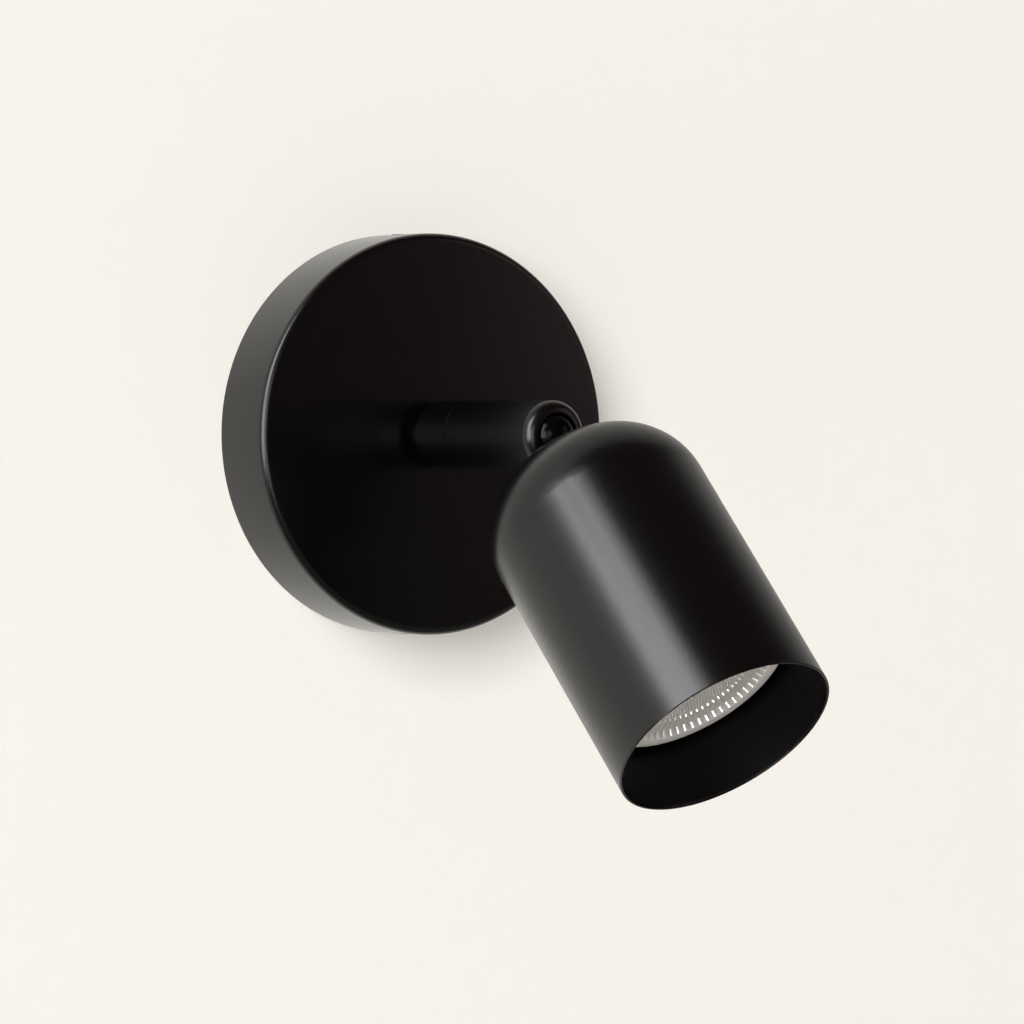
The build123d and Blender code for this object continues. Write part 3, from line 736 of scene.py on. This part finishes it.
def rib_tree(material):
    graph = Graph("lens_rib_ring")
    count = graph.knob("Count", "Int", 72)
    radius = graph.knob("Ring radius", "Float", 19.0 * MM)
    length = graph.knob("Rib length", "Float", 4.0 * MM)
    width = graph.knob("Rib width", "Float", 0.8 * MM)
    height = graph.knob("Rib height", "Float", 0.8 * MM)
    lean = graph.knob("Lean", "Float", 0.0)
    face = graph.knob("Face", "Float", 75.9 * MM)
    circle = graph.node(
        "GeometryNodeMeshCircle", {"fill_type": "NONE"}, {"Vertices": count, "Radius": radius}
    ).outputs["Mesh"]
    points = graph.node(
        "GeometryNodeMeshToPoints", {"mode": "VERTICES"}, {"Mesh": circle}
    ).outputs["Points"]
    rod = one_rod(graph, vector_of(graph, length, width, height), lean)
    place = graph.node("GeometryNodeInputPosition").outputs[0]
    outwards = graph.node(
        "FunctionNodeAlignRotationToVector", {"axis": "X", "pivot_axis": "Z"}, {"Vector": place}
    ).outputs[0]
    ring = graph.node(
        "GeometryNodeInstanceOnPoints", None,
        {"Points": points, "Instance": rod, "Rotation": outwards},
    ).outputs[0]
    graph.close(at_the_lamp(graph, ring, face), material)
    return graph


def dome_tree(material):
    graph = Graph("lens_dome_field")
    radius = graph.knob("Field radius", "Float", 14.6 * MM)
    pitch = graph.knob("Pitch", "Float", 0.9 * MM)
    width = graph.knob("Dome width", "Float", 0.8 * MM)
    height = graph.knob("Dome height", "Float", 0.4 * MM)
    face = graph.knob("Face", "Float", 75.9 * MM)
    row_step = graph.math("MULTIPLY", pitch, 0.75 ** 0.5)    # height of an equal-sided triangle
    sides = []
    for step in (pitch, row_step):
        steps = graph.math("ROUND", graph.math("DIVIDE", radius, step), 0.0)
        one_way = graph.math("ADD", steps, 1.0)
        both_ways = graph.math("MULTIPLY", one_way, 2.0)
        sides.append((graph.math("MULTIPLY", both_ways, step), graph.math("ADD", both_ways, 1.0)))
    (size_x, count_x), (size_y, count_y) = sides
    grid = graph.node(
        "GeometryNodeMeshGrid", None,
        {"Size X": size_x, "Size Y": size_y, "Vertices X": count_x, "Vertices Y": count_y},
    ).outputs["Mesh"]
    points = graph.node(
        "GeometryNodeMeshToPoints", {"mode": "VERTICES"}, {"Mesh": grid}
    ).outputs["Points"]
    place = graph.node("GeometryNodeInputPosition").outputs[0]
    y = graph.node("ShaderNodeSeparateXYZ", None, {"Vector": place}).outputs["Y"]
    row = graph.math("ROUND", graph.math("DIVIDE", y, row_step), 0.0)
    odd = graph.math("FLOORED_MODULO", row, 2.0)
    aside = graph.math("MULTIPLY", graph.math("MULTIPLY", odd, pitch), 0.5)
    shift = vector_of(graph, aside, 0.0, 0.0)
    staggered = graph.node(
        "GeometryNodeSetPosition", None, {"Geometry": points, "Offset": shift}
    ).outputs[0]
    reach = graph.node("ShaderNodeVectorMath", {"operation": "LENGTH"}, {0: place}).outputs["Value"]
    outside = graph.math("GREATER_THAN", reach, radius)
    kept = graph.node(
        "GeometryNodeDeleteGeometry", {"domain": "POINT"},
        {"Geometry": staggered, "Selection": outside},
    ).outputs[0]
    size = vector_of(graph, width, width, height)
    field = graph.node(
        "GeometryNodeInstanceOnPoints", None,
        {"Points": kept, "Instance": one_dome(graph), "Scale": size},
    ).outputs[0]
    graph.close(at_the_lamp(graph, field, face), material)
    return graph


print("rib and dome trees written")

# %% [markdown]
# ### Lens plastic
#
# The moulding is a milky grey, so it is made as an opaque satin body under a glossy
# clear coat, with a fine frosting as bump. Clear glass would show the lamp's works,
# which the photograph doesn't. The flange is smoother and a little pinker than the field.

# %% Lens finish
LENS_GREYS = (0.25, 0.239, 0.225), (0.37, 0.345, 0.334)     # the field, then the flange
# The lighter grey below is a painted highlight on the flange's rounded outer edge.
EDGE_HIGHLIGHT_GREY = (0.44, 0.43, 0.42, 1)


def lens_plastic():
    finish = Finish("frosted_lens_plastic")
    place = local(finish, head_frame)
    x, y = (finish.add("SeparateXYZ", output=i, Vector=place) for i in range(2))
    radius = (x * x + y * y) ** 0.5 / MM
    flange = ((radius - FIELD_RADIUS) * 1.2).clipped()
    # Painted highlight: the flange's rounded outer edge is mixed towards a lighter grey.
    edge = ((radius - (LENS_RADIUS - 0.9)) * 2).clipped()
    frost = grain(finish, place, 0.28, detail=2.0)
    cloud = grain(finish, place, 4.0)
    body = tint(finish, (flange * 0.8 + cloud * 0.2).clipped(), *LENS_GREYS)
    colour = finish.add(
        "Mix", {"data_type": "RGBA"}, output=2, s0=edge * 0.6, s6=body, s7=EDGE_HIGHLIGHT_GREY
    )
    finish.set(
        Base_Color=colour,
        Roughness=0.30 + frost * 0.12 - flange * 0.05,
        Normal=relief(finish, frost * (1 - flange * 0.8), 0.02),
        Coat_Weight=1.0,
        Coat_Roughness=0.10,
    )
    return finish.material


lens_finish = lens_plastic()
dress(blank, lens_finish)
ribs = rib_tree(lens_finish)
FIELD_FACE = (LENS_FACE - FIELD_DROP) * MM

# Each ring: its radius, then each rib's rise over the field, length, width and height, in
# millimetres, and its lean in degrees.
RIB_COUNT = 72
RIB_RINGS = (
    (21.28, 0.47, 1.65, 1.84, 0.70, 45),
    (18.5, -0.06, 4.6, 1.10, 0.60, 0),
    (16.2, -0.04, 1.00, 1.30, 0.50, 45),
)
for ring_radius, rise, length, width, height, lean in RIB_RINGS:
    grow(blank, ribs, {
        "Count": RIB_COUNT,
        "Ring radius": ring_radius * MM,
        "Rib length": length * MM,
        "Rib width": width * MM,
        "Rib height": height * MM,
        "Lean": radians(lean),
        "Face": FIELD_FACE + rise * MM,
    })
grow(blank, dome_tree(lens_finish), {
    "Field radius": 15.0 * MM,
    "Pitch": 0.9 * MM,
    "Dome width": 0.86 * MM,
    "Dome height": 0.42 * MM,
    "Face": FIELD_FACE,
})
print("lens with ribs and domes:", len(blank.data.polygons), "faces")

# %% Lens rides on the head
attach(blank, "head")
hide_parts("lamp_lens")
print("lens in place")

# %% [markdown]
# ## Wall and floor
#
# The light hangs on a pale cream wall. The camera must see that cream and the plate's soft
# shadow on it, so the wall mixes a plain glow with matte paint that takes the shadow. In
# the black metal's reflections the wall's brightness is painted on, as a glow that only
# glossy rays see. This painted reflection is bright at the left, towards the window, and
# falls away up and to the right, with two painted highlights close above and below the
# plate for its rim. That keeps the metal's far edges as dark as on the real light. Wall
# and floor are one-sided: from behind or below they vanish, and a hole behind the plate
# lets its inside be seen and lit from the back.

# %% Backdrops
CREAM = (0.935, 0.912, 0.852)
BRIGHTEST = 1.4             # the mirrored wall at its brightest place


def glow(finish, strength):
    return finish.add("Emission", Color=(*[c * strength for c in CREAM], 1), Strength=1.0)


def one_sided_paint(name, own_glow, paint, mirrored):
    """Pale paint. mirrored makes the wire for how bright its painted reflection is at a place, a
    glow that only glossy rays see.
    """
    finish = Finish(name)

    def path(kind):
        return finish.add("LightPath", output=kind)

    matte = finish.add("BsdfDiffuse", Color=(*[c * paint for c in CREAM], 1))
    both = finish.add("AddShader", s0=matte, s1=glow(finish, own_glow))
    direct = (path("Is Camera Ray") + path("Is Transmission Ray")).clipped()
    straight = finish.add("MixShader", s0=direct, s1=matte, s2=both)
    place = finish.add("TexCoord", output=3)
    x, z = (finish.add("SeparateXYZ", output=i, Vector=place) for i in (0, 2))
    reflected = finish.add(
        "MixShader", s0=mirrored(x, z), s1=glow(finish, 0.0), s2=glow(finish, BRIGHTEST)
    )
    front = finish.add("MixShader", s0=path("Is Glossy Ray"), s1=straight, s2=reflected)
    behind = finish.add("NewGeometry", output="Backfacing")
    finish.show(finish.add("MixShader", s0=behind, s1=front, s2=finish.add("BsdfTransparent")))
    return finish.material


def glow_patch(x, z, at_x, at_z, reach):
    """1 at a place on the wall, falling to 0 at its reach in metres."""
    return (1 - ((x - at_x) ** 2.0 + (z - at_z) ** 2.0) / reach ** 2).clipped()


def wall_painted_reflection(x, z):
    """Painted reflection: bright at the left and close to the plate, above and below. Dim to the
    right and upwards.
    """
    away = (x + z * 0.5 + 0.05).at_least(0.0)
    # Two painted highlights for the plate's rim: the reflection is brighter just above and below
    # the plate.
    above = glow_patch(x, z, at_x=-0.015, at_z=0.06, reach=0.06) * 0.45
    below_it = glow_patch(x, z, at_x=-0.015, at_z=-0.06, reach=0.045) * 0.3
    return (((away * 2.2 + 1.0) ** -1.0) * 0.92 + (above + below_it)) / BRIGHTEST


# The floor's painted reflection: dim, a little brighter towards +X.
def floor_painted_reflection(x, z):
    return (x * 0.05 + 0.20) / BRIGHTEST


def sheet_with_hole(name, half_width, bottom, top, hole, steps=96):
    """A wall in the plane y = 0, with a round hole at the origin.

    Its corners stand half a step off the axes, so no sine or cosine here is 0.
    """
    shape = bmesh.new()
    inner, outer = [], []
    for i in range(steps):
        angle = 2 * pi * (i + 0.5) / steps
        c, s = cos(angle), sin(angle)
        reach = min(half_width / abs(c), (top if s > 0 else -bottom) / abs(s))
        inner.append(shape.verts.new((hole * c, 0, hole * s)))
        outer.append(shape.verts.new((reach * c, 0, reach * s)))
    for i in range(steps):
        j = (i + 1) % steps
        shape.faces.new((inner[i], inner[j], outer[j], outer[i]))
    mesh = bpy.data.meshes.new(name)
    shape.to_mesh(mesh)
    shape.free()
    return mesh


FLOOR_LEVEL, WALL_TOP, HALF_WIDTH, FLOOR_DEPTH = -1.0, 2.6, 3.0, 3.5
HOLE_BEHIND_PLATE = 48.5 * MM
PAINT = 0.80                # how much light the matte paint gives back
WALL_GLOW, FLOOR_GLOW = 0.365, 0.55

wall = shown(
    "pale_wall",
    sheet_with_hole("pale_wall", HALF_WIDTH, FLOOR_LEVEL, WALL_TOP, HOLE_BEHIND_PLATE),
)
dress(wall, one_sided_paint("cream_wall_paint", WALL_GLOW, PAINT, wall_painted_reflection))
if wall.data.polygons[0].normal.y > 0:
    wall.data.flip_normals()

floor_mesh = bpy.data.meshes.new("pale_floor")
floor_corners = (
    (-HALF_WIDTH, 0), (-HALF_WIDTH, -FLOOR_DEPTH), (HALF_WIDTH, -FLOOR_DEPTH), (HALF_WIDTH, 0)
)
floor_mesh.from_pydata([(x, y, FLOOR_LEVEL) for x, y in floor_corners], [], [(0, 1, 2, 3)])
floor = shown("pale_floor", floor_mesh)
dress(floor, one_sided_paint("cream_floor_paint", FLOOR_GLOW, PAINT, floor_painted_reflection))
if floor.data.polygons[0].normal.z < 0:
    floor.data.flip_normals()
print("wall and floor in place")

# %% [markdown]
# ## Studio light
#
# Black paint shows little of its own colour: it shows what it mirrors. So the head was
# read as a bent mirror, which gave the window's place at the left and its brightness. It
# is made of four panes. The main and middle ones draw the long highlight down the head,
# the upper one is dimmer and softens the highlight's far side, and the low one lights the
# arm's rounded end and the plate's front edge. A card beside the camera shows in the plate
# and, through it, as a faint strip along the arm. A small lamp low in front reaches only
# the lens, to make its ribs sparkle. A weak one at the right lifts the plate's face, and
# one behind shows its inside.
#
# All these would wash out the plate's shadow. So light linking keeps them off the wall and
# floor, which get a lamp of their own, and only the plate blocks it.

# %% Lights
def group_of(name, *members):
    group = bpy.data.collections.new(name)
    for member in members:
        group.objects.link(member)
    return group


backdrop_group = group_of("backdrop_only", wall, floor)
lens_group = group_of("lens_only", blank)
plate_group = group_of("plate_only", cover)
object_group = group_of("all_but_backdrop", wall, floor)
for item in object_group.collection_objects:
    item.light_linking.link_state = "EXCLUDE"


def soft_light(
    name, place, target, width, height, radiance, colour=(1, 1, 1), lights=object_group
):
    """A rectangular lamp whose surface has the given radiance."""
    data = bpy.data.lights.new(name, "AREA")
    data.shape, data.size, data.size_y = "RECTANGLE", width, height
    data.color = colour
    data.energy = radiance * 4 * width * height
    lamp = bpy.data.objects.new(name, data)
    bpy.context.collection.objects.link(lamp)
    lamp.location = place
    lamp.rotation_euler = (Vector(target) - Vector(place)).to_track_quat("-Z", "Y").to_euler()
    lamp.light_linking.receiver_collection = lights
    return lamp


WINDOW_X = -1.25
DAYLIGHT = (0.97, 0.965, 1.0)


def window_pane(name, near, far, bottom, top, radiance):
    """A pane of the window, which faces +X. near and far are metres from the wall."""
    y, z = -(near + far) / 2, (bottom + top) / 2
    soft_light(
        name, (WINDOW_X, y, z), (0, y, z), far - near, top - bottom, radiance, DAYLIGHT
    )


window_pane("window_main", near=0.06, far=0.74, bottom=0.45, top=1.00, radiance=6.6)
window_pane("window_middle", near=0.30, far=0.87, bottom=1.00, top=1.47, radiance=6.8)
window_pane("window_upper", near=0.50, far=1.08, bottom=1.46, top=1.95, radiance=3.3)
window_pane("window_low", near=0.10, far=1.10, bottom=-0.28, top=0.45, radiance=5.4)

origin = (0, 0, 0)
head_middle = head_frame @ Vector((0, 0, 50 * MM))
soft_light(
    "camera_card", (-0.93, -1.43, 0.0), origin,
    width=0.55, height=1.10, radiance=2.0, colour=(1.0, 0.97, 0.97),
)
soft_light(
    "low_front", (-0.37, -1.19, -0.70), head_middle,
    width=0.30, height=0.30, radiance=46.0, colour=(1.0, 0.98, 0.95), lights=lens_group,
)
soft_light(
    "right_fill", (1.05, -0.95, 0.30), head_middle,
    width=0.50, height=0.80, radiance=0.52, colour=(1.0, 0.84, 0.84),
)
soft_light("behind", (0.3, 0.9, 0.5), origin, width=0.8, height=0.8, radiance=1.6)
shadow_lamp = soft_light(
    "wall_lamp", (-9.2, -8.0, 4.0), (-9.2, 0, 4.0),
    width=7.2, height=8.0, radiance=10.2, lights=backdrop_group,
)
shadow_lamp.light_linking.blocker_collection = plate_group

world = bpy.data.worlds.new("dim_room")
world.use_nodes = True
background = world.node_tree.nodes["Background"]
background.inputs["Color"].default_value = (1, 0.72, 0.72, 1)
background.inputs["Strength"].default_value = 0.07
bpy.context.scene.world = world
